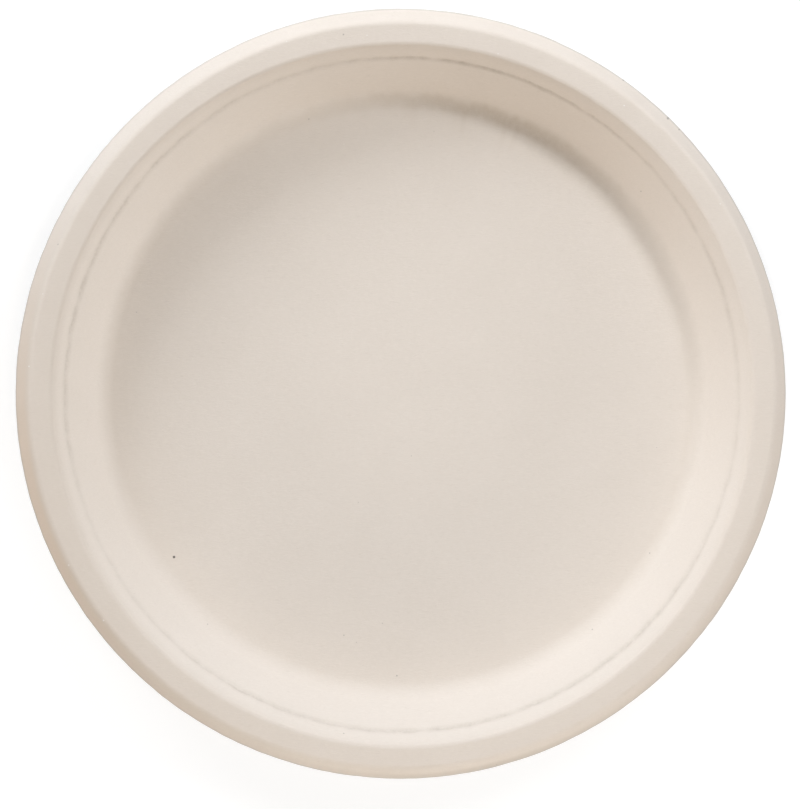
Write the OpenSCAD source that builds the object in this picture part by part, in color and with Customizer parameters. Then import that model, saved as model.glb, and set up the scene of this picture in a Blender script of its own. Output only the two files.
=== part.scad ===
// Round dinner plate pressed from plant-fibre pulp, in one piece.
// Millimetres. The origin is the middle of the underside and +Z is up.
// The section is drawn once, as the line of the eating side, and given its wall below that line.

/* [Plate] */
// Overall diameter, at the trimmed edge of the lip
plate_d = 228; // [180:1:280]
// Overall height, from the table to the top of the rim
plate_h = 20; // [15:0.5:30]
// Thickness of the pressed pulp
wall_t = 0.7; // [0.4:0.05:1.2]

/* [Wall] */
// Slope of the wall, from level
wall_slope = 52; // [40:1:70]
// Radius of the bend between floor and wall, on the eating side
bend_r = 7.5; // [4:0.5:12]

/* [Rim] */
// Width of the flat band of the rim, between its two corners
rim_w = 6.7; // [5:0.1:12]
// Fall of the flat band towards the lip
rim_fall = 0.3; // [0:0.05:0.8]
// Rounding of the rim's inner corner, above the wall
shoulder_r = 2.1; // [1.6:0.1:3.5]
// Rounding of the rim's outer corner, above the lip
crown_r = 2.6; // [1.6:0.1:3.5]

/* [Lip] */
// Width of the lip as seen from above
lip_w = 3.65; // [2.5:0.05:6]
// Slope of the lip, from level
lip_slope = 52; // [35:1:65]

/* [Seam line] */
// Distance of the seam line inside the rim's inner corner, as seen from above
seam_in = 4.15; // [2.5:0.05:6]
// Width of the seam line across the wall
seam_w = 1.7; // [0.8:0.1:2.4]
// Depth of the seam line below the wall's face
seam_depth = 0.30; // [0.05:0.01:0.35]

/* [Hidden] */

// Facets round a whole turn, and the steps of each bend in the section
turn_steps = 180;
bend_steps = 12;
// Share of the seam line's width on its gentle side, below its deepest point
seam_gentle = 0.6;

pulp_colour = [0.87, 0.83, 0.79];

plate_r = plate_d / 2;
floor_z = wall_t;
band_slope = atan(rim_fall / rim_w);
// The shoulder's rounding tops out this far below its sharp corner, so the corner stands that much higher
shoulder_loss = shoulder_r
    * (tan((wall_slope + band_slope) / 2) * sin(wall_slope) + cos(wall_slope) - 1);
shoulder_corner_z = plate_h + shoulder_loss;
wall_rise = shoulder_corner_z - floor_z;
crown_corner_x = plate_r - lip_w;
crown_corner_z = shoulder_corner_z - rim_fall;
shoulder_corner_x = crown_corner_x - rim_w;
bend_corner_x = shoulder_corner_x - wall_rise / tan(wall_slope);
lip_drop = lip_w * tan(lip_slope);

// Sharp corners of the eating side from the middle outwards, each [radius, height, rounding]
corners = [
    [0, floor_z, 0],
    [bend_corner_x, floor_z, bend_r],
    [shoulder_corner_x, shoulder_corner_z, shoulder_r],
    [crown_corner_x, crown_corner_z, crown_r],
    [plate_r, crown_corner_z - lip_drop, 0]
];

function unit(v) = v / norm(v);
function level_point(c) = [c[0], c[1]];
function heading(a, b) = unit(level_point(b) - level_point(a));
function left_of(d) = [-d[1], d[0]];
function turned(d, a) = [d[0] * cos(a) - d[1] * sin(a), d[0] * sin(a) + d[1] * cos(a)];
function turn_between(d, e) = atan2(d[0] * e[1] - d[1] * e[0], d * e);

// Points of the rounding at one corner, each set below the eating side by the given depth
function bend_points(before, corner, after, depth) =
    let (
        d = heading(before, corner),
        turn = turn_between(d, heading(corner, after)),
        side = sign(turn),
        r = corner[2],
        start = level_point(corner) - d * r * tan(abs(turn) / 2),
        centre = start + left_of(d) * side * r
    )
    [
        for (k = [0 : bend_steps])
            let (left = left_of(turned(d, turn * k / bend_steps)))
                centre - left * (side * r + depth)
    ];

// Where the underside of the lip, carried on in its own slope, meets the trimmed edge
function trim_z(depth) = corners[4][1] - depth / cos(lip_slope);

// Whole line from the middle to the trimmed edge, at a depth below the eating side
function section_line(depth) = concat(
    [[0, floor_z - depth]],
    [for (i = [1 : 3]) each bend_points(corners[i - 1], corners[i], corners[i + 1], depth)],
    [[plate_r, trim_z(depth)]]
);

// The fine seam line that the two halves of the mould press into the wall
module seam_cut() {
    wall_dir = [cos(wall_slope), sin(wall_slope)];
    into_wall = [sin(wall_slope), -cos(wall_slope)];
    deepest_on_face = [
        shoulder_corner_x - seam_in,
        shoulder_corner_z - seam_in * tan(wall_slope)
    ];
    clear = -into_wall * seam_depth;
    lower = deepest_on_face - wall_dir * seam_w * seam_gentle;
    upper = deepest_on_face + wall_dir * seam_w * (1 - seam_gentle);
    polygon([
        lower,
        deepest_on_face + into_wall * seam_depth,
        upper,
        upper + clear,
        lower + clear
    ]);
}

module section() {
    under = section_line(wall_t);
    difference() {
        polygon(concat(
            section_line(0),
            [for (i = [len(under) - 1 : -1 : 0]) under[i]]
        ));
        seam_cut();
    }
}

module plate() {
    color(pulp_colour)
        rotate_extrude($fn = turn_steps)
            section();
}

plate();
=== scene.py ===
# %% [markdown]
# A dinner plate pressed from plant-fibre pulp
#
# The real plate is made in one stroke. Wet fibre settles on a wire screen, and two heated halves of
# a mould press it dry. Then its edge is trimmed. So it is one piece with one finish, and all of its
# character lies in its section, in the small faults of pressing, and in the pulp itself.
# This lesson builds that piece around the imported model, gives it a pulp finish, and lights it on a
# pale floor. Lengths of the plate are in millimetres, and MM turns them into Blender's metres.

# %% Load the frame
import math

import bpy
import numpy as np
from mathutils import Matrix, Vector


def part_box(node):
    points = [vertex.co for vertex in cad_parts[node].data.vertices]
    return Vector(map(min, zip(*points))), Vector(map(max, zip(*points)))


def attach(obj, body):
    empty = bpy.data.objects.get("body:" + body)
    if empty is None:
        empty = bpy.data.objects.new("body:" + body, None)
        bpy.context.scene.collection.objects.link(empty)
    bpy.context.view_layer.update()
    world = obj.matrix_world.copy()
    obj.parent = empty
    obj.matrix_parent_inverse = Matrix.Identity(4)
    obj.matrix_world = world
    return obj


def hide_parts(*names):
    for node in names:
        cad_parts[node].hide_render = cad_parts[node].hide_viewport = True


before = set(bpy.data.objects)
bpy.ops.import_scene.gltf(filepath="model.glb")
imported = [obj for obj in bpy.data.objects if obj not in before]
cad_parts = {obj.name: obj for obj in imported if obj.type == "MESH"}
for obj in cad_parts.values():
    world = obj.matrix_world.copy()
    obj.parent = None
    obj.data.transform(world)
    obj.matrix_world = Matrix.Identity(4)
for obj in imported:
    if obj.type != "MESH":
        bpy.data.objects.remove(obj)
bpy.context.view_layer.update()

MM = 0.001
plate_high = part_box("plate")[1]
plate_r = plate_high.x / MM
plate_h = plate_high.z / MM
print("plate radius and height in mm:", round(plate_r, 3), round(plate_h, 3))

# %% [markdown]
# The camera
#
# The photograph looks straight down the plate's axis, so every ring of the plate shows as a true
# circle. A camera close by would shrink the floor of the plate against its rim. A long lens from far
# away keeps the rings in the proportions that the photograph has. Its focal length follows from how
# many pixels of the picture the plate's outline takes up.

# %% Place the camera
image_w, image_h = 800, 809
outline_x, outline_y, outline_r = 400.22, 393.82, 385.67
edge_z = 14.5
camera_reach = 4000.0

mm_per_pixel = plate_r / outline_r
camera_data = bpy.data.cameras.new("camera")
camera_data.sensor_width = 36.0
camera_data.lens = camera_data.sensor_width * camera_reach / (max(image_w, image_h) * mm_per_pixel)
camera_data.clip_end = 50.0
camera = bpy.data.objects.new("camera", camera_data)
camera.location = (
    (image_w / 2 - outline_x) * mm_per_pixel * MM,
    (outline_y - image_h / 2) * mm_per_pixel * MM,
    (camera_reach + edge_z) * MM,
)
bpy.context.scene.collection.objects.link(camera)
bpy.context.scene.camera = camera
print("lens in mm:", round(camera_data.lens, 1))

# %% [markdown]
# The section of the plate
#
# Every ring of the plate comes from one line: floor, bend, wall, shoulder, flat band, crown, lip, and
# then the cut edge and the same line again on the underside. A designer draws it as straight runs with
# rounded corners. The rounding is worked out from the corner and its radius, as on a drawing
# board, so the numbers below are the ones that a mould maker would give.

# %% Driving sizes of the section
wall_t = 0.7
wall_slope = math.radians(52)
bend_r = 7.5
rim_w = 6.7
rim_fall = 0.3
shoulder_r = 2.1
crown_r = 2.6
lip_w = 3.65
lip_slope = math.radians(52)
trim_top_r = 0.3
trim_foot_r = 0.2

band_slope = math.atan2(rim_fall, rim_w)
half_turn = (wall_slope + band_slope) / 2
shoulder_loss = shoulder_r * (math.tan(half_turn) * math.sin(wall_slope) + math.cos(wall_slope) - 1)
shoulder_z = plate_h + shoulder_loss
crown_x = plate_r - lip_w
shoulder_x = crown_x - rim_w
crown_z = shoulder_z - rim_fall
bend_x = shoulder_x - (shoulder_z - wall_t) / math.tan(wall_slope)
edge_top_z = crown_z - lip_w * math.tan(lip_slope)
print("sharp corners at radius:", [round(x, 2) for x in (bend_x, shoulder_x, crown_x)])


# %% Round the corners of a line
def rounded(corners, radii, steps=24):
    """The line through the corners with each one rounded to its radius. At a corner the line leaves its
    straight run one tangent length early, radius times the tangent of half the turn, and follows a circle
    of that radius until it meets the next run."""
    corners = np.array(corners, float)
    points = [corners[:1]]
    for before, corner, after, radius in zip(corners, corners[1:], corners[2:], radii):
        way_in = (corner - before) / np.linalg.norm(corner - before)
        way_out = (after - corner) / np.linalg.norm(after - corner)
        turn = math.atan2(way_in[0] * way_out[1] - way_in[1] * way_out[0], way_in @ way_out)
        side = math.copysign(1, turn)
        left = np.array([-way_in[1], way_in[0]])
        start = corner - way_in * radius * math.tan(abs(turn) / 2)
        centre = start + left * side * radius
        turned = np.linspace(0, turn, steps)[:, None]
        points.append(centre - side * radius * (left * np.cos(turned) - way_in * np.sin(turned)))
    points.append(corners[-1:])
    return np.concatenate(points)


# %% Move a line to its right
def pushed_in(corners, depth):
    """The corners of the same line moved to its right by a depth: each corner goes along the sum of its
    two runs' left sides, scaled so that both runs move by exactly the depth."""
    corners = np.array(corners, float)
    run = np.diff(corners, axis=0)
    run /= np.linalg.norm(run, axis=1)[:, None]
    left = np.stack([-run[:, 1], run[:, 0]], 1)
    before = np.concatenate([left[:1], left])
    after = np.concatenate([left, left[-1:]])
    share = 1 + np.sum(before * after, 1)
    return corners - depth * (before + after) / share[:, None]


# %% Draw the closed section
upper_corners = [
    (0, wall_t),
    (bend_x, wall_t),
    (shoulder_x, shoulder_z),
    (crown_x, crown_z),
    (plate_r, edge_top_z),
]
lower_corners = pushed_in(upper_corners, wall_t)
edge_foot_z = edge_top_z - wall_t / math.cos(lip_slope)
way_back = [(plate_r, edge_foot_z)] + [tuple(c) for c in lower_corners[3:0:-1]] + [(0, 0)]
section_corners = upper_corners + way_back
section_radii = [
    bend_r, shoulder_r, crown_r, trim_top_r, trim_foot_r,
    crown_r - wall_t, shoulder_r - wall_t, bend_r + wall_t,
]
outline = rounded(section_corners, section_radii)
print("section points:", len(outline), "floor radius in mm:", round(outline[1, 0], 2))

# %% [markdown]
# Rings where they are needed
#
# A flat floor needs few rings, a bend needs many, and the fine seam line in the wall needs the most.
# So the points aren't spread evenly. First the section is followed in steps far finer than a ring, to
# know its place and its heading everywhere. The trimmed edge is its outermost point, and the slight
# lean picks the lowest where many are outermost. Then each length of the section gets as many rings
# as its bending and its nearness to the seam, the rim and the edge call for.

# %% Follow the section in fine steps
fine_step = 0.02
lean = 0.001
run_length = np.linalg.norm(np.diff(outline, axis=0), axis=1)
station = np.concatenate([[0], np.cumsum(run_length)])
fine_station = np.arange(0, station[-1], fine_step)
fine = np.stack([np.interp(fine_station, station, outline[:, k]) for k in (0, 1)], 1)
heading = np.unwrap(np.arctan2(np.gradient(fine[:, 1]), np.gradient(fine[:, 0])))
edge_station = fine_station[np.argmax(fine[:, 0] - lean * fine[:, 1])]
print("length of the section in mm:", round(float(station[-1]), 1))

# %% Find the seam line on the wall
seam_in = 4.15
seam_z = shoulder_z - seam_in * math.tan(wall_slope)
seam_point = np.array([shoulder_x - seam_in, seam_z])
wall_way = np.array([math.cos(wall_slope), math.sin(wall_slope)])
print("seam line at radius and height in mm:", seam_point.round(2))

# %% Spread the rings along the section
longest_ring = 7.0
rim_ring = 1.0
edge_ring = 0.2
seam_ring = 0.2
seam_reach = 1.9
rim_reach = 3.0
edge_reach = 0.6
turn_above = math.radians(6.5)
turn_below = math.radians(15)

on_eating_side = fine_station < edge_station
along_wall = (fine - seam_point) @ wall_way
near_seam = np.exp(-((along_wall / seam_reach) ** 4)) * on_eating_side
near_rim = (fine[:, 0] > shoulder_x - rim_reach) * on_eating_side
near_edge = (fine[:, 0] > plate_r - edge_reach) * on_eating_side
turn_per_ring = np.where(fine_station < edge_station - edge_reach, turn_above, turn_below)
ring_density = 1 / longest_ring + np.abs(np.gradient(heading, fine_step)) / turn_per_ring
ring_density = ring_density + near_seam / seam_ring + near_rim / rim_ring + near_edge / edge_ring
ring_count = np.concatenate([[0], np.cumsum(ring_density[:-1] * fine_step)])
rings = np.interp(np.arange(0, ring_count[-1], 1.0), ring_count, fine_station)
rings = np.append(rings, fine_station[-1])
print("rings:", len(rings))

# %% [markdown]
# The small faults of pressing
#
# A mould never leaves a perfect body of revolution. The seam line in the wall, where two parts of the
# mould meet, wanders a little and is pressed deeper at some places than at others. The rim dries with a
# slight wave. The trimming blade leaves the edge a little uneven and cuts it slightly off the middle of
# the pressed form, so the lip is wider on one side than on the other.
# All of these are smooth functions of the angle round the plate. A row of cosines with seeded random
# heights closes on itself after a whole turn, and so does a hump that is measured the short way round.

# %% Waves and humps round the plate
random = np.random.default_rng(20)
angle_steps = 720
angle = np.arange(angle_steps) * 2 * np.pi / angle_steps


def waves_round(fewest, most):
    """A closed wavy line round the plate: the sum of one cosine for each whole number of waves between
    the two, with a random start and a random height over the root of that number. It is divided by its
    own spread, which makes the spread one."""
    waves = np.arange(fewest, most + 1)[:, None]
    heights = random.normal(size=waves.shape) / np.sqrt(waves)
    starts = random.uniform(0, 2 * np.pi, waves.shape)
    line = np.sum(heights * np.cos(waves * angle + starts), 0)
    return line / np.std(line)


def hump(middle_deg, half_width_deg):
    """One at an angle round the plate, falling off to both sides as a bell curve: e to the minus square
    of the distance from there, counted in half widths the short way round."""
    gap = (np.degrees(angle) - middle_deg + 180) % 360 - 180
    return np.exp(-((gap / half_width_deg) ** 2))


def humps(*rows):
    """The sum of several humps, each from its height, its angle and its half width in degrees."""
    return sum(height * hump(middle, half_width) for height, middle, half_width in rows)


# %% Soft clouds across the plate
def clouds(x, y, shortest, longest, count=48):
    """A soft random relief with a spread of one: the sum of many flat waves that cross the plate in
    random directions, each with a random length between the two, over the root of half their number."""
    ways = random.uniform(0, 2 * np.pi, count)
    lengths = random.uniform(shortest, longest, count)
    starts = random.uniform(0, 2 * np.pi, count)
    total = np.zeros_like(x)
    for way, length, start in zip(ways, lengths, starts):
        along = x * math.cos(way) + y * math.sin(way)
        total += np.cos(2 * np.pi * along / length + start)
    return total / math.sqrt(count / 2)


# %% How deep the seam line is round the plate, and how it wanders
seam_marks_deg = [0, 20, 40, 62, 80, 100, 130, 160, 180, 203, 222, 242, 280, 318, 340]
seam_marks = [0.35, 0.85, 0.65, 1.2, 1.30, 0.6, 0.85, 1.05, 0.85, 0.3, 0.52, 0.80, 0.88, 1.05, 0.55]
seam_unrest = 0.16
seam_least, seam_most = 0.4, 1.5
seam_wander = 0.07

seam_push = np.interp(np.degrees(angle), seam_marks_deg, seam_marks, period=360)
seam_push = seam_push * np.clip(1 + seam_unrest * waves_round(24, 160), seam_least, seam_most)
seam_shift = seam_wander * waves_round(12, 120)
print("furthest wandering of the seam in mm:", round(float(np.abs(seam_shift).max()), 2))

# %% [markdown]
# One surface from two parameters
#
# The plate is a grid: rings along the section in one direction, and angles round the plate in the other.
# Each point starts on the section, and is moved along the section's own outward side by the faults
# above. numpy does this for the whole grid at once, which is both quicker and easier to read than
# a loop over points.

# %% Give each ring its place and its outward side
ring_station = rings[:, None]
ring_r = np.interp(rings, fine_station, fine[:, 0])[:, None]
ring_z = np.interp(rings, fine_station, fine[:, 1])[:, None]
ring_heading = np.interp(rings, fine_station, heading)[:, None]
out_r, out_z = -np.sin(ring_heading), np.cos(ring_heading)
flat_x, flat_y = ring_r * np.cos(angle), ring_r * np.sin(angle)

# %% [markdown]
# Zones of the plate
#
# A fault or a colour belongs to one zone and fades in at its border. Most zones are nought up to their
# first number and one from their second on. The two sides of the plate are told apart by the way
# along the section, and all other zones by their radius.

# %% Say where each zone lies
def smooth_step(value, low, high):
    """Zero below low, one above high, and an S-shaped curve between them: three times the square of the
    share of the way, less twice its cube."""
    share = np.clip((value - low) / (high - low), 0, 1)
    return share * share * (3 - 2 * share)


eating_side = 1 - smooth_step(ring_station, edge_station - 0.8, edge_station - 0.2)
underside = smooth_step(ring_station, edge_station + 1.0, edge_station + 1.6)
beyond_floor = smooth_step(ring_r, 84, 96)
above_seam = smooth_step(ring_r, 100, 103)
on_rim = smooth_step(ring_r, 101, 104)
on_wall = smooth_step(ring_r, 86, 91) - on_rim
on_lip = smooth_step(ring_r, 109.5, 112)
below_crown = smooth_step(ring_r, 110.2, 111.9)
near_blade = smooth_step(ring_r, plate_r - 3, plate_r)
outer_lip = smooth_step(ring_r, plate_r - 2.3, plate_r - 0.7)
at_blade = smooth_step(ring_r, plate_r - 0.6, plate_r)
cut_edge = smooth_step(ring_r, plate_r - 0.45, plate_r - 0.10)
over_lip = np.clip((ring_r - crown_x) / lip_w, 0, 1)
print("rings on the rim and lip, from above:", int(np.sum(on_rim * eating_side > 0.5)))

# %% [markdown]
# Lines pressed into the wall
#
# The seam line is a groove that is gentle on the floor's side and steeper on the rim's side, and one
# stretch of it is narrower. A second, fainter line runs just under the shoulder. A soft relief and the
# wave of the rim lie below the plain face by twice their own spread or more, so that hardly anything
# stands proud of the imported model.

# %% Press the seam line
def groove(along, gentle_w, sharp_w):
    """The section of a pressed line, one at its deepest: e to the minus square of the distance from its
    middle, counted in the gentle width on the floor's side and in the sharp one on the rim's side."""
    return np.exp(-((along / np.where(along < 0, gentle_w, sharp_w)) ** 2))


seam_depth = 0.30
seam_gentle_w, seam_sharp_w = 1.0, 0.65
shade_gentle_w, shade_sharp_w = 1.25, 1.1
seam_narrowing = 0.3 * hump(60, 40)
across = (ring_r - seam_point[0]) * wall_way[0] + (ring_z - seam_point[1]) * wall_way[1]
from_seam = (across - seam_shift / wall_way[0]) / (1 - seam_narrowing)
crease = eating_side * seam_push * groove(from_seam, seam_gentle_w, seam_sharp_w)
# The seam's painted shade: a darker band painted along the groove, for the shade that gathers in its
# crease.
seam_painted_shade = eating_side * seam_push * groove(from_seam, shade_gentle_w, shade_sharp_w)
print("deepest seam in mm:", round(float(seam_depth * crease.max()), 2))

# %% Press the fainter line, the soft relief and the rim's wave
faint_depth = 0.13
faint_gentle_w, faint_sharp_w = 1.2, 0.50
faint_from_seam = 3.35 / wall_way[0]
faint_unrest = 0.35
faint_least, faint_most = 0.2, 2
faint_push = np.clip(1 + faint_unrest * waves_round(20, 140), faint_least, faint_most)
faint = eating_side * faint_push * groove(across - faint_from_seam, faint_gentle_w, faint_sharp_w)

relief_depth, relief_sink = 0.03, 2
rim_wave, rim_sink = 0.025, 2.5
relief = relief_depth * eating_side * (clouds(flat_x, flat_y, 24, 70) - relief_sink)
wave = rim_wave * on_rim * eating_side * (waves_round(16, 90) - rim_sink)
raised = -seam_depth * crease - faint_depth * faint + relief + wave
print("lowest and highest in mm:", round(float(raised.min()), 2), round(float(raised.max()), 3))

# %% [markdown]
# Drying and trimming
#
# As it dries, the wall and rim sag a little, more on some sides than on others. The blade then cuts a
# round edge that isn't quite in the middle of the form, and its cut is slightly rough. So the form is
# shifted inside its edge. A point of the lip that the cut moves inwards also moves up the lip's
# slope, which keeps the slope as it was.

# %% Sag and trim
warp = 0.12
blade_in = 0.16
blade_off_x, blade_off_y = 0.10, 0.05
rough_cut, rough_middle, rough_most = 0.025, 1.5, 4
sag = -warp * beyond_floor * (1 + waves_round(2, 3) / 3)
bite = rough_cut * np.clip(waves_round(20, 160) + rough_middle, 0, rough_most) * at_blade
cut_short = (blade_in - blade_off_x * np.cos(angle) - blade_off_y * np.sin(angle)) * near_blade
print("most sag and most cut in mm:", round(float(-sag.min()), 2), round(float(cut_short.max()), 2))

# %% Shift the form inside its edge
form_off_x, form_off_y = 0.50, -0.12
rim_off_x, rim_off_y = 0.62, -0.38
off_x = (form_off_x + (rim_off_x - form_off_x) * above_seam) * (1 - over_lip)
off_y = (form_off_y + (rim_off_y - form_off_y) * above_seam) * (1 - over_lip)
outward_off = rim_off_x * np.cos(angle) + rim_off_y * np.sin(angle)
lip_lift = (outward_off * over_lip + cut_short) * math.tan(lip_slope)

grid_r = ring_r + out_r * raised - bite - cut_short
grid_x = grid_r * np.cos(angle) + off_x
grid_y = grid_r * np.sin(angle) + off_y
grid_z = ring_z + out_z * raised + sag + lip_lift
print("grid:", grid_r.shape)


# %% Put the grid into a mesh
def closed_round(name, x, y, z):
    """A closed mesh from a grid of rings whose first and last ring are one point each. Those two get a
    fan of triangles round them, and all other faces are four-sided."""
    ring_total = len(z)
    points = np.stack([x, y, z], -1)
    top, foot = points[0].mean(0), points[-1].mean(0)
    points = np.concatenate([points[1:-1].reshape(-1, 3), [top, foot]]) * MM
    here = np.arange(angle_steps)
    following = np.roll(here, -1)
    inner = (np.arange(ring_total - 3) * angle_steps)[:, None]
    outer = inner + angle_steps
    quads = np.stack([inner + here, outer + here, outer + following, inner + following], -1)
    last = (ring_total - 3) * angle_steps
    top_index = (ring_total - 2) * angle_steps
    top_fan = np.stack([np.full(angle_steps, top_index), here, following], -1)
    foot_fan = np.stack([np.full(angle_steps, top_index + 1), last + following, last + here], -1)
    faces = quads.reshape(-1, 4).tolist() + top_fan.tolist() + foot_fan.tolist()
    mesh = bpy.data.meshes.new(name)
    mesh.from_pydata(points.tolist(), [], faces)
    mesh.shade_smooth()
    return mesh


plate_mesh = closed_round("pulp_plate", grid_x, grid_y, grid_z)
triangles = sum(len(p.vertices) - 2 for p in plate_mesh.polygons)
print("points:", len(plate_mesh.vertices), "triangles:", triangles)

# %% [markdown]
# Painted shade and a warm tint
#
# The pulp isn't one colour all over. A warm tint covers the rim and, faintly, the wall. The rest is
# painted shade: warm on the lip at the left, lower left and right and on the wall at the upper right,
# darker in the seam line's crease, a brown painted shadow in the bend at the upper right, grey on the
# band at the left, and a painted shadow along the lip's outer edge at the bottom. The wall slides along
# the mould, so its felt is smoother. Each of these is a share that the mesh keeps on its points, where
# the material reads it.

# %% Work out the shares
# A brown painted shadow across the bend: strongest at the upper right, where the rim's shadow falls, and
# fainter at the upper left and the right.
bend_shade_r, bend_unrest = 86.9, 0.35
bend_half_w = 2.2
bend_middle = bend_shade_r + bend_unrest * waves_round(25, 180)
in_bend = np.exp(-(((ring_r - bend_middle) / bend_half_w) ** 4)) * eating_side
bend_painted_shadow = in_bend * humps((0.34, 65, 28), (0.11, 140, 60), (0.07, 345, 35))

# Painted shade on the rim: an even light grey over it, painted shade on the band at the left, less of it
# on the lip at the upper left, where the light falls, and a painted shadow along the outer lip at the
# bottom.
grey_everywhere, painted_shade_left, painted_light_lip = 0.03, 0.20, 0.17
rim_painted_shade = on_rim * (grey_everywhere + painted_shade_left * hump(180, 60)) - painted_light_lip * on_lip * hump(143, 24)
rim_painted_shade = rim_painted_shade + outer_lip * humps((0.42, 281, 26), (0.14, 322, 26))

# A warm tan: an even tint on the rim and a faint one on the wall, and warm painted shade on the lip at
# the left, the lower left and the right, and on the wall at the upper right.
warm_rim_tint, painted_shade_lower_left_lip = 0.10, 0.27
warm_wall_tint, painted_shade_upper_right_wall = 0.02, 0.15
warm_tint_and_painted_shade = warm_rim_tint * on_rim + on_lip * humps((0.40, 192, 28), (0.22, 338, 35))
warm_tint_and_painted_shade = warm_tint_and_painted_shade + painted_shade_lower_left_lip * hump(202, 32) * below_crown
warm_tint_and_painted_shade = warm_tint_and_painted_shade + on_wall * (warm_wall_tint + painted_shade_upper_right_wall * hump(52, 34))

smoothing = 0.75
felt_relief = 1 - smoothing * on_wall
print("most toasted and greyest:", round(float(warm_tint_and_painted_shade.max()), 2), round(float(rim_painted_shade.max()), 2))


# %% Keep the shares on the mesh
def on_points(mesh, name, grid):
    """Keeps a value of the grid on the mesh's points, under a name that a material can read."""
    values = np.broadcast_to(grid, grid_r.shape)
    kept = np.concatenate([values[1:-1].ravel(), [values[0, 0], values[-1, 0]]])
    attribute = mesh.attributes.new(name, "FLOAT", "POINT")
    attribute.data.foreach_set("value", kept.astype(np.float32))


on_points(plate_mesh, "felt_relief", felt_relief)
on_points(plate_mesh, "seam_painted_shade", seam_painted_shade)
on_points(plate_mesh, "bend_painted_shadow", bend_painted_shadow)
on_points(plate_mesh, "rim_painted_shade", rim_painted_shade * eating_side)
on_points(plate_mesh, "warm_tint_and_painted_shade", warm_tint_and_painted_shade * eating_side)
on_points(plate_mesh, "underside", underside)
on_points(plate_mesh, "cut_edge", cut_edge)
print("shares:", [a.name for a in plate_mesh.attributes if a.data_type == "FLOAT"])

# %% [markdown]
# One piece for one solid
#
# The imported model has the plate as one solid in one node. The mesh rides on the same body and takes
# that node's place in the scene.

# %% Let the piece stand for the imported one
plate_piece = bpy.data.objects.new("pulp_plate", plate_mesh)
bpy.context.scene.collection.objects.link(plate_piece)
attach(plate_piece, "root")
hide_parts("plate")
print("piece:", plate_piece.name)

# %% [markdown]
# Pressed pulp
#
# Up close, unbleached pulp is a felt of short fibres that lie in every direction. Most are the colour
# of the sheet, a few are paler or darker, and here and there a dark speck of rind was left in. Hot
# pressing makes the surface matt and nearly smooth, with a faint grain. The finish is built from
# patterns that are fixed in the plate's own coordinates, so they stay where they are in every view.

# %% Small helpers for node trees
def add(tree, kind, feeds=None, **options):
    """A new node. Options are the node's own settings, and feeds gives its sockets a value or an
    output of another node to read."""
    made = tree.nodes.new(kind)
    for option, value in options.items():
        setattr(made, option, value)
    for socket, value in (feeds or {}).items():
        if isinstance(value, bpy.types.NodeSocket):
            tree.links.new(value, made.inputs[socket])
        else:
            made.inputs[socket].default_value = value
    return made


def reckon(tree, operation, first, second=0.0, third=0.0):
    """The output of a Math node on up to three numbers or outputs."""
    return add(tree, "ShaderNodeMath", {0: first, 1: second, 2: third}, operation=operation).outputs[0]


def reckon_place(tree, operation, feeds):
    """A Vector Math node on the given feeds."""
    return add(tree, "ShaderNodeVectorMath", feeds, operation=operation)


def spread(tree, value, low, high, to_low=0.0, to_high=1.0):
    """The value carried from one range to another, and held at the ends."""
    feeds = {"Value": value, 1: low, 2: high, 3: to_low, 4: to_high}
    return add(tree, "ShaderNodeMapRange", feeds).outputs[0]


def blend(tree, share, first, second):
    """Two colours mixed by a share."""
    feeds = {0: share, 6: first, 7: second}
    return add(tree, "ShaderNodeMix", feeds, data_type="RGBA").outputs[2]


def named_value(tree, name):
    """A value that the mesh keeps on its points."""
    return add(tree, "ShaderNodeAttribute", attribute_name=name).outputs["Fac"]


# %% Patterns of lumps
pulp = bpy.data.materials.new("pulp")
pulp.use_nodes = True
tree = pulp.node_tree
tree.nodes.clear()

own_place = add(tree, "ShaderNodeTexCoord").outputs["Object"]
place = reckon_place(tree, "SCALE", {0: own_place, "Scale": 1 / MM}).outputs[0]


def noise(where, per_mm, detail=2.0, roughness=0.5):
    """Soft random values about one half, with so many lumps to the millimetre."""
    feeds = {"Vector": where, "Scale": per_mm, "Detail": detail, "Roughness": roughness}
    return add(tree, "ShaderNodeTexNoise", feeds)


cloud = noise(place, 0.05, 3.0).outputs[0]
flock = noise(place, 0.9, 3.0, 0.6).outputs[0]
grain = noise(place, 4.5, 2.0).outputs[0]
print("nodes so far:", len(tree.nodes))

# %% Patterns of fibres
fibre_bend = 1.6
bends = noise(place, 0.35, 1.0)
bend_by = reckon_place(tree, "SUBTRACT", {0: bends.outputs["Color"], 1: (0.5, 0.5, 0.5)})
bend_by = reckon_place(tree, "SCALE", {0: bend_by.outputs[0], "Scale": fibre_bend})
bent_place = reckon_place(tree, "ADD", {0: place, 1: bend_by.outputs[0]}).outputs[0]


def fibres(degrees, seed, floor=0.60, top=0.72, length=2.6, width=0.20):
    """Short fibres in about one direction: noise drawn out along it on slightly bent coordinates, of
    which only the highest lumps stay. The seed moves the pattern aside, so no two are alike."""
    feeds = {
        "Vector": bent_place,
        "Location": (seed * 7.3, seed * 3.1, 0),
        "Rotation": (0, 0, math.radians(degrees)),
        "Scale": (1 / length, 1 / width, 1),
    }
    drawn = add(tree, "ShaderNodeMapping", feeds)
    return spread(tree, noise(drawn.outputs[0], 1.0, 1.0).outputs[0], floor, top)


pale_fibre = fibres(12, 1)
for degrees, seed in ((74, 2), (131, 3)):
    pale_fibre = reckon(tree, "MAXIMUM", pale_fibre, fibres(degrees, seed))
rare_floor, rare_top = 0.66, 0.74
dark_fibre = fibres(43, 4, rare_floor, rare_top)
dark_fibre = reckon(tree, "MAXIMUM", dark_fibre, fibres(103, 5, rare_floor, rare_top))
print("nodes so far:", len(tree.nodes))
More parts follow.
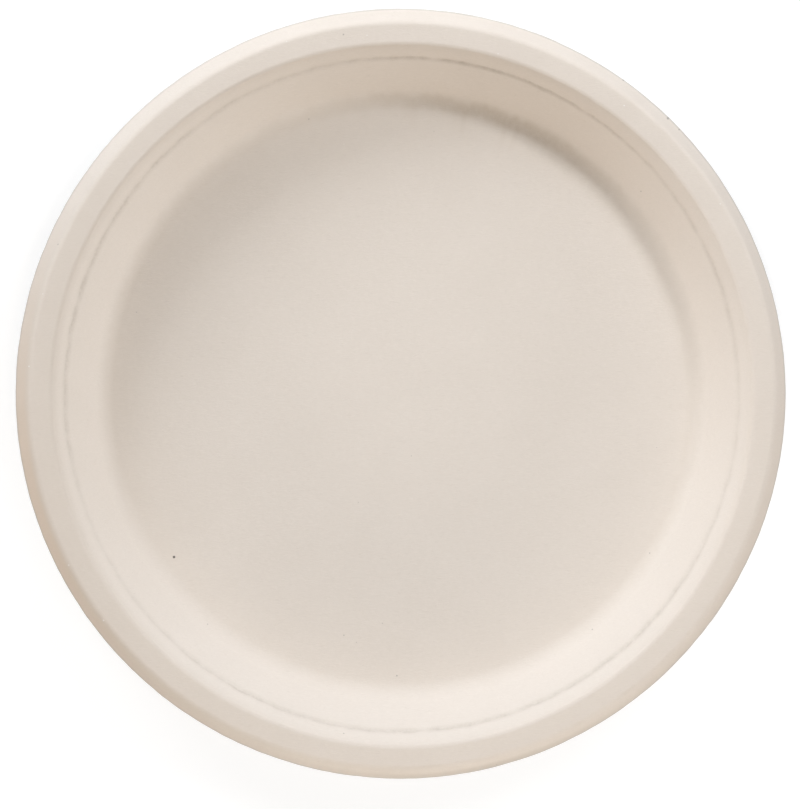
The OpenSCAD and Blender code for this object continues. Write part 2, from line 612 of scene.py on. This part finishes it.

# %% [markdown]
# Specks
#
# The eating side has one dark speck that stands out, a few fainter ones, and three small ones on the
# edge of the lip. Each is a spot in the finish at its own place, because a speck is coloured fibre in
# the sheet and not something on top. Each row gives a spot's place on the plate, its width and how
# strong it is. Pale bits are small pale spots, and most of them lie on the rim.

# %% Place the specks
dark_specks = [
    (-67.1, -48.4, 0.75, 1.0),
    (-1.0, -83.6, 0.45, 0.45),
    (-16.7, -71.6, 0.40, 0.35),
    (-13.0, -73.7, 0.35, 0.25),
    (-57.1, -68.3, 0.40, 0.30),
    (71.3, 60.0, 0.40, 0.35),
    (-27.1, 81.5, 0.45, 0.30),
    (-78.2, 24.2, 0.35, 0.25),
    (3.3, -18.4, 0.35, 0.25),
    (66.0, 92.7, 0.50, 0.45),
    (79.1, 81.4, 0.75, 0.45),
    (82.4, 78.1, 0.50, 0.35),
]
pale_bits = [
    (66.1, 85.1, 0.45, 0.9),
    (28.9, 100.4, 0.40, 0.7),
    (-97.9, -50.6, 0.50, 0.6),
    (-87.6, -66.9, 0.50, 0.8),
    (-56.3, 44.6, 0.35, 0.5),
    (-16.7, 74.1, 0.35, 0.5),
    (-9.8, 105.8, 0.40, 0.6),
    (-33.5, 104.0, 0.40, 0.5),
    (94.5, 56.1, 0.45, 0.6),
    (-105.5, 29.5, 0.35, 0.5),
    (-109.6, 8.1, 0.45, 0.7),
]
level_place = reckon_place(tree, "MULTIPLY", {0: place, 1: (1, 1, 0)}).outputs[0]


def spots(rows, core=0.25, rim=0.65):
    """Round spots, each from its place, its width and its strength. A spot is full up to the core's share
    of its width and gone at the rim's, and where spots meet, the stronger one stays."""
    total = 0.0
    for x, y, width, strength in rows:
        gap = reckon_place(tree, "DISTANCE", {0: level_place, 1: (x, y, 0)}).outputs["Value"]
        spot = spread(tree, gap, width * core, width * rim, strength, 0.0)
        total = reckon(tree, "MAXIMUM", total, spot)
    return total


speck = spots(dark_specks)
pale_bit = spots(pale_bits)
print("dark specks and pale bits:", len(dark_specks), len(pale_bits))

# %% Strew a few faint specks everywhere
strewn_per_mm = 0.075
strewn_core, strewn_rim, strewn_strength = 0.012, 0.022, 0.35
cells = add(tree, "ShaderNodeTexVoronoi", {"Vector": place, "Scale": strewn_per_mm, "Randomness": 1.0})
strewn = spread(tree, cells.outputs["Distance"], strewn_core, strewn_rim, strewn_strength, 0.0)
speck = reckon(tree, "MAXIMUM", speck, strewn)
print("widest strewn speck in mm:", round(2 * strewn_rim / strewn_per_mm, 2))

# %% [markdown]
# Mixing the finish
#
# The sheet's own colour lies between two tones, and clouds, flock and fibres say where. The shares on
# the mesh then blend grey painted shade, a brown painted shadow and a warm tan of tint and painted shade
# over it, and the specks come last. The flock mottles the painted shade of the seam line and the bend,
# so that their borders look like felt and not like paint.

# %% Mix the colour
deep_pulp = (0.678, 0.612, 0.547, 1)
pale_pulp = (0.778, 0.712, 0.649, 1)
# Grey for painted shade on the seam and the rim.
painted_shade_grey = (0.455, 0.402, 0.345, 1)
# Brown for the bend's painted shadow.
painted_shadow_brown = (0.475, 0.385, 0.290, 1)
# A warm tan for the rim's tint and for warm painted shade.
warm_tan_pulp = (0.720, 0.582, 0.462, 1)
# Grey for a thin darker line along the trimmed edge.
edge_line_grey = (0.42, 0.40, 0.38, 1)
pale_spot_colour = (0.86, 0.83, 0.80, 1)
dark_rind = (0.03, 0.025, 0.02, 1)
cloud_part, flock_part, pale_part, dark_part = 0.30, 0.36, 0.20, 0.30
crease_part, cut_part = 0.32, 0.32
flock_low, flock_high = 0.3, 0.7

tone = reckon(tree, "MULTIPLY_ADD", cloud, cloud_part, -cloud_part / 2)
flock_tone = reckon(tree, "MULTIPLY_ADD", flock, flock_part, (1 - flock_part) / 2)
tone = reckon(tree, "ADD", tone, flock_tone)
tone = reckon(tree, "MULTIPLY_ADD", pale_fibre, pale_part, tone)
tone = reckon(tree, "MULTIPLY_ADD", dark_fibre, -dark_part, tone)
colour = blend(tree, tone, deep_pulp, pale_pulp)

# Painted shade along the seam's crease, mottled by the flock.
crease_mottle = spread(tree, flock, flock_low, flock_high, 0.5, 1.5)
seam_painted_shade_mark = reckon(tree, "MULTIPLY", named_value(tree, "seam_painted_shade"), crease_mottle)
# The seam's and the rim's painted shade blend the colour towards the shade grey.
painted_grey_shade_mark = reckon(tree, "MULTIPLY_ADD", seam_painted_shade_mark, crease_part, named_value(tree, "rim_painted_shade"))
colour = blend(tree, painted_grey_shade_mark, colour, painted_shade_grey)
# The bend's painted shadow, mottled by the flock, blends towards brown.
bend_mottle = spread(tree, flock, flock_low, flock_high, 0.75, 1.25)
bend_shadow_mark = reckon(tree, "MULTIPLY", named_value(tree, "bend_painted_shadow"), bend_mottle)
colour = blend(tree, bend_shadow_mark, colour, painted_shadow_brown)
# The warm tint and the warm painted shade blend towards tan.
colour = blend(tree, named_value(tree, "warm_tint_and_painted_shade"), colour, warm_tan_pulp)
# A thin darker line along the trimmed edge.
cut_mark = reckon(tree, "MULTIPLY", named_value(tree, "cut_edge"), cut_part)
colour = blend(tree, cut_mark, colour, edge_line_grey)
colour = blend(tree, pale_bit, colour, pale_spot_colour)
colour = blend(tree, speck, colour, dark_rind)
print("nodes so far:", len(tree.nodes))

# %% Press the wires of the forming screen into the underside
wire_gap = 0.55
wires = []
for axis in ("X", "Y"):
    part = add(tree, "ShaderNodeSeparateXYZ", {0: place}).outputs[axis]
    wires.append(reckon(tree, "SINE", reckon(tree, "MULTIPLY", part, 2 * math.pi / wire_gap)))
woven = reckon(tree, "MULTIPLY", wires[0], wires[1])
screen = reckon(tree, "MULTIPLY", woven, named_value(tree, "underside"))
print("wires to the centimetre:", round(10 / wire_gap))

# %% Raise the felt and finish the shader
grain_height, flock_height, fibre_height, wire_height = 0.35, 0.9, 0.35, 0.20
felt_depth = 0.05
smoothest, roughest = 0.82, 0.95
height = reckon(tree, "MULTIPLY", grain, grain_height)
height = reckon(tree, "MULTIPLY_ADD", flock, flock_height, height)
height = reckon(tree, "MULTIPLY_ADD", pale_fibre, fibre_height, height)
height = reckon(tree, "MULTIPLY", height, named_value(tree, "felt_relief"))
height = reckon(tree, "MULTIPLY_ADD", screen, wire_height, height)
bump = add(tree, "ShaderNodeBump", {"Strength": 1.0, "Distance": felt_depth * MM, "Height": height})

shader_feeds = {
    "Base Color": colour,
    "Roughness": spread(tree, flock, flock_low, flock_high, smoothest, roughest),
    "Specular IOR Level": 0.3,
    "Normal": bump.outputs[0],
}
shader = add(tree, "ShaderNodeBsdfPrincipled", shader_feeds)
add(tree, "ShaderNodeOutputMaterial", {"Surface": shader.outputs[0]})
plate_mesh.materials.append(pulp)
print("pulp nodes:", len(tree.nodes))

# %% [markdown]
# The floor
#
# The plate lies on a pale floor, a tenth of a millimetre above it so that no two faces share a place.
# To the camera the floor is lifted to white where nothing shades it, and its shadow is kept, because
# only a glow is added to what the lamps give. The glow grows with the distance from the plate, as the
# lamps reach less far than a low view does. The photographed plate stands in the open, with nothing
# behind it that could light its lip. So to all other light rays the floor is a dark one, and little
# light comes up from it. Only a disc under the plate is pale to them. It is too small for the lip to
# see, and gives the wall's underside the light that a table sends up.

# %% Lay the floor
floor_half = 4.0
floor_gap = 0.1
floor_mesh = bpy.data.meshes.new("floor")
corner_signs = ((-1, -1), (1, -1), (1, 1), (-1, 1))
floor_corners = [(x * floor_half, y * floor_half, -floor_gap * MM) for x, y in corner_signs]
floor_mesh.from_pydata(floor_corners, [], [(0, 1, 2, 3)])
floor = bpy.data.objects.new("floor", floor_mesh)
bpy.context.scene.collection.objects.link(floor)
print("side of the floor in metres:", 2 * floor_half)


# %% Tell the camera's rays from the others
def seen_directly(tree):
    """One for a ray that brings the camera its picture, straight or by a mirror or glass, and nought for
    a ray that only carries light from face to face."""
    rays = add(tree, "ShaderNodeLightPath").outputs
    straight_or_mirrored = reckon(tree, "MAXIMUM", rays["Is Camera Ray"], rays["Is Glossy Ray"])
    return reckon(tree, "MAXIMUM", straight_or_mirrored, rays["Is Transmission Ray"])


# %% Paint the floor
seen_tone = 0.35
bounce_tone = 0.12
disc_tone = 0.90
disc_r, disc_fade = 125, 4
near_glow, far_glow = 0.75, 1.0
glow_start, glow_end = 0.25, 0.60
paint = bpy.data.materials.new("floor_paint")
paint.use_nodes = True
tree = paint.node_tree
tree.nodes.clear()

seen = seen_directly(tree)
floor_place = add(tree, "ShaderNodeTexCoord").outputs["Object"]
from_middle = reckon_place(tree, "LENGTH", {0: floor_place}).outputs["Value"]
bounce = spread(tree, from_middle, (disc_r - disc_fade) * MM, disc_r * MM, disc_tone, bounce_tone)
matt = add(tree, "ShaderNodeBsdfDiffuse", {"Color": spread(tree, seen, 0, 1, bounce, seen_tone)})
glow_here = spread(tree, from_middle, glow_start, glow_end, near_glow, far_glow)
glow = add(tree, "ShaderNodeEmission", {"Strength": reckon(tree, "MULTIPLY", seen, glow_here)})
both = add(tree, "ShaderNodeAddShader", {0: matt.outputs[0], 1: glow.outputs[0]})
add(tree, "ShaderNodeOutputMaterial", {"Surface": both.outputs[0]})
floor_mesh.materials.append(paint)
print("floor paint nodes:", len(tree.nodes))

# %% [markdown]
# Light
#
# The photograph looks lit by broad soft lamps: a bright one at the upper left, a second, higher one at
# the upper right, and weak ones low down in front and at the sides. Each lamp here is a panel that
# faces the plate. Its level says how bright it alone would make a white card that faces it, where one
# is plain white. The power that this takes grows with the square of the distance. Three thin strips
# just above the floor light only the lip. The sizes and distances of lamps are in metres.

# %% Hang the lamps
def hang_lamp(name, azimuth, elevation, level, wide, tall, reach=1.6, colour=(1, 1, 1)):
    """A panel at an azimuth and an elevation round the plate's middle, facing it. Its power is its level
    times pi squared times the square of its distance."""
    turn, rise = math.radians(azimuth), math.radians(elevation)
    level_part = math.cos(rise)
    way = np.array([math.cos(turn) * level_part, math.sin(turn) * level_part, math.sin(rise)])
    data = bpy.data.lights.new(name, "AREA")
    data.shape = "RECTANGLE"
    data.size = wide
    data.size_y = tall
    data.energy = level * math.pi ** 2 * reach ** 2
    data.color = colour
    lamp = bpy.data.objects.new(name, data)
    lamp.location = tuple(way * reach)
    lamp.rotation_mode = "QUATERNION"
    lamp.rotation_quaternion = lamp.location.to_track_quat("Z", "Y")
    lamp.visible_camera = False
    bpy.context.scene.collection.objects.link(lamp)


cool = (0.95, 1.00, 1.06)
warm = (1.17, 1.00, 0.80)
creamy = (1.12, 1.00, 0.85)
ivory = (1.05, 1.00, 0.93)
hang_lamp("key_core", 128, 22, 0.43, 0.61, 0.42, colour=cool)
hang_lamp("key_soft_back", 106, 22, 0.18, 0.80, 0.87)
hang_lamp("key_soft_left", 143, 22, 0.19, 0.80, 0.87, colour=cool)
hang_lamp("second_core", 44, 39.8, 0.25, 0.62, 0.17, colour=cool)
hang_lamp("second_right", 35, 41, 0.11, 0.80, 0.085, colour=cool)
hang_lamp("second_left", 65, 41, 0.11, 0.80, 0.085)
hang_lamp("near_lower_right", 300, 58, 0.145, 0.20, 0.20, reach=0.5, colour=cool)
hang_lamp("high_front", 270, 62, 0.215, 0.50, 0.50, colour=warm)
hang_lamp("low_left", 190, 12, 0.165, 1.05, 0.20, colour=cool)
hang_lamp("low_front_left", 232, 12, 0.147, 1.15, 0.20, colour=creamy)
hang_lamp("low_front_right", 312, 12, 0.17, 1.15, 0.20, colour=ivory)
hang_lamp("low_right", 348, 12, 0.165, 1.15, 0.20, colour=cool)
for azimuth, level in ((90, 0.145), (45, 0.07), (270, 0.215)):
    hang_lamp("lip_strip_" + str(azimuth), azimuth, 1.4, level, 0.20, 0.014, reach=0.4)
print("lamps:", len(bpy.data.lights))

# %% Light from all round
ambient = 0.02
world = bpy.data.worlds.new("studio")
bpy.context.scene.world = world
world.use_nodes = True
tree = world.node_tree
tree.nodes.clear()
strength = spread(tree, seen_directly(tree), 0.0, 1.0, ambient, 1.0)
sky = add(tree, "ShaderNodeBackground", {"Color": (1, 1, 1, 1), "Strength": strength})
add(tree, "ShaderNodeOutputWorld", {"Surface": sky.outputs[0]})
bpy.context.scene.view_settings.view_transform = "Standard"
print("world nodes:", len(tree.nodes))
